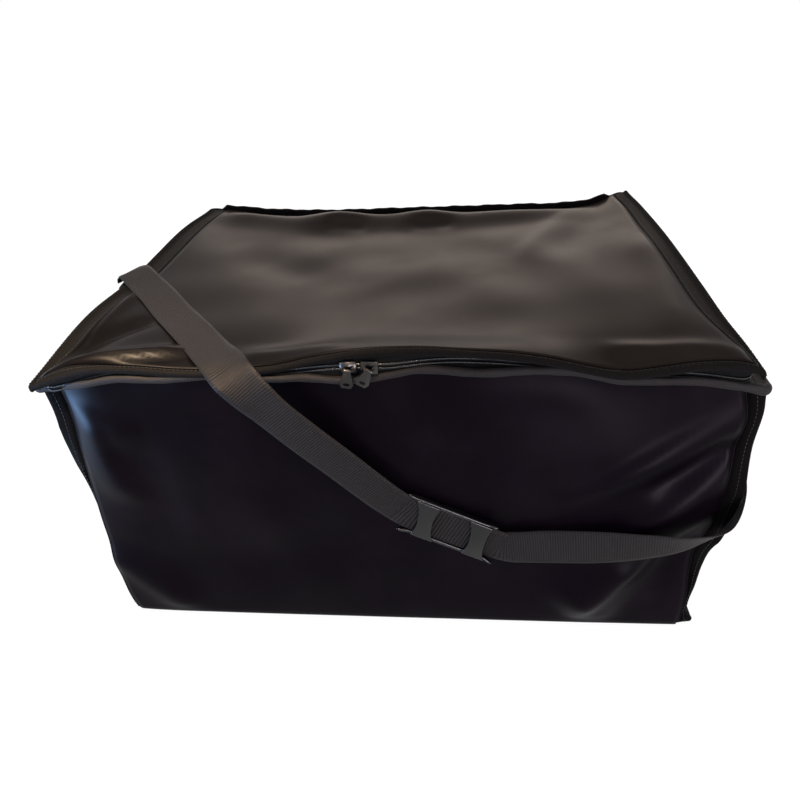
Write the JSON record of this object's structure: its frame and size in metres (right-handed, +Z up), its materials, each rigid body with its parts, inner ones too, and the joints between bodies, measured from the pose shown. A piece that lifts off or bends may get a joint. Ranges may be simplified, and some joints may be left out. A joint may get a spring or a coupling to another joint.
{
  "type": "insulated delivery bag",
  "caption": "Soft-sided insulated box bag with a zipped lid hinged at the back, bound seams and an adjustable shoulder strap.",
  "frame": {"origin": "middle of the base on its underside", "axes": "+Z up, -Y out of the front panel, +X to the right as seen from the front"},
  "size_m": [0.6795, 0.4882, 0.3556],
  "materials": {
    "coated_fabric": "satin black coated fabric",
    "binding": "matt brown-black binding tape",
    "webbing": "black ribbed webbing",
    "zip_tape": "matt black woven tape",
    "zip_coil": "black nylon coil",
    "zip_metal": "gunmetal plating",
    "adjuster_plastic": "black moulded plastic",
    "foam": "pale closed-cell foam",
    "lining": "silver-grey lining",
    "board": "black stiffener sheet"
  },
  "bodies": {
    "bag": {"outer_wrap": "coated_fabric", "left_side_panel": "coated_fabric", "right_side_panel": "coated_fabric", "front_foam": "foam", "back_foam": "foam", "left_foam": "foam", "right_foam": "foam", "base_foam": "foam", "base_board": "board", "inner_liner": "lining", "body_rim_binding": "binding", "left_seam_binding": "binding", "right_seam_binding": "binding", "hinge_seam_binding": "binding", "zipper_tape_body": "zip_tape", "zipper_chain_body": "zip_coil", "zipper_stop_left": "zip_metal", "zipper_stop_right": "zip_metal", "left_strap_anchor": "coated_fabric", "right_strap_anchor": "coated_fabric", "strap_end_left": "webbing", "strap_end_right": "webbing"},
    "lid": {"lid_panel": "coated_fabric", "lid_foam": "foam", "lid_liner": "lining", "lid_binding": "binding", "zipper_tape_lid": "zip_tape", "zipper_chain_lid": "zip_coil"},
    "left_slider": {"slider_left": "zip_metal"},
    "right_slider": {"slider_right": "zip_metal"},
    "left_pull_tab": {"pull_tab_left": "zip_metal"},
    "right_pull_tab": {"pull_tab_right": "zip_metal"},
    "strap": {"strap_webbing_left": "webbing", "strap_webbing_right": "webbing"},
    "adjuster": {"adjuster_frame": "adjuster_plastic"}
  },
  "joints": [
    {"name": "lid_hinge", "type": "hinge", "parent": "bag", "child": "lid", "pos_m": [0, 0.2282, 0.3354], "axis": [-1, 0, 0], "range_deg": [0, 180], "deforming": ["strap_webbing_left", "strap_webbing_right"]},
    {"name": "left_slider_run", "type": "slide", "parent": "bag", "child": "left_slider", "axis": [-0.999, 0, -0.0451], "range_m": [0, 0.25]},
    {"name": "right_slider_run", "type": "slide", "parent": "bag", "child": "right_slider", "axis": [0.9992, 0, -0.0408], "range_m": [0, 0.27]},
    {"name": "left_tab_hinge", "type": "hinge", "parent": "left_slider", "child": "left_pull_tab", "pos_m": [-0.023, -0.2386, 0.33379], "axis": [-0.999, 0, -0.0451], "range_deg": [0, 170]},
    {"name": "right_tab_hinge", "type": "hinge", "parent": "right_slider", "child": "right_pull_tab", "pos_m": [-0.005, -0.2386, 0.33383], "axis": [-0.9992, 0, 0.0408], "range_deg": [0, 170]},
    {"name": "strap_swing", "type": "hinge", "parent": "bag", "child": "strap", "pos_m": [-0.316, -0.002, 0.3414], "axis": [-0.9893, 0.0154, 0.1452], "range_deg": [0, 100]},
    {"name": "adjuster_run", "type": "slide", "parent": "strap", "child": "adjuster", "axis": [0.887, 0, -0.4618], "range_m": [-0.012, 0.012]}
  ]
}
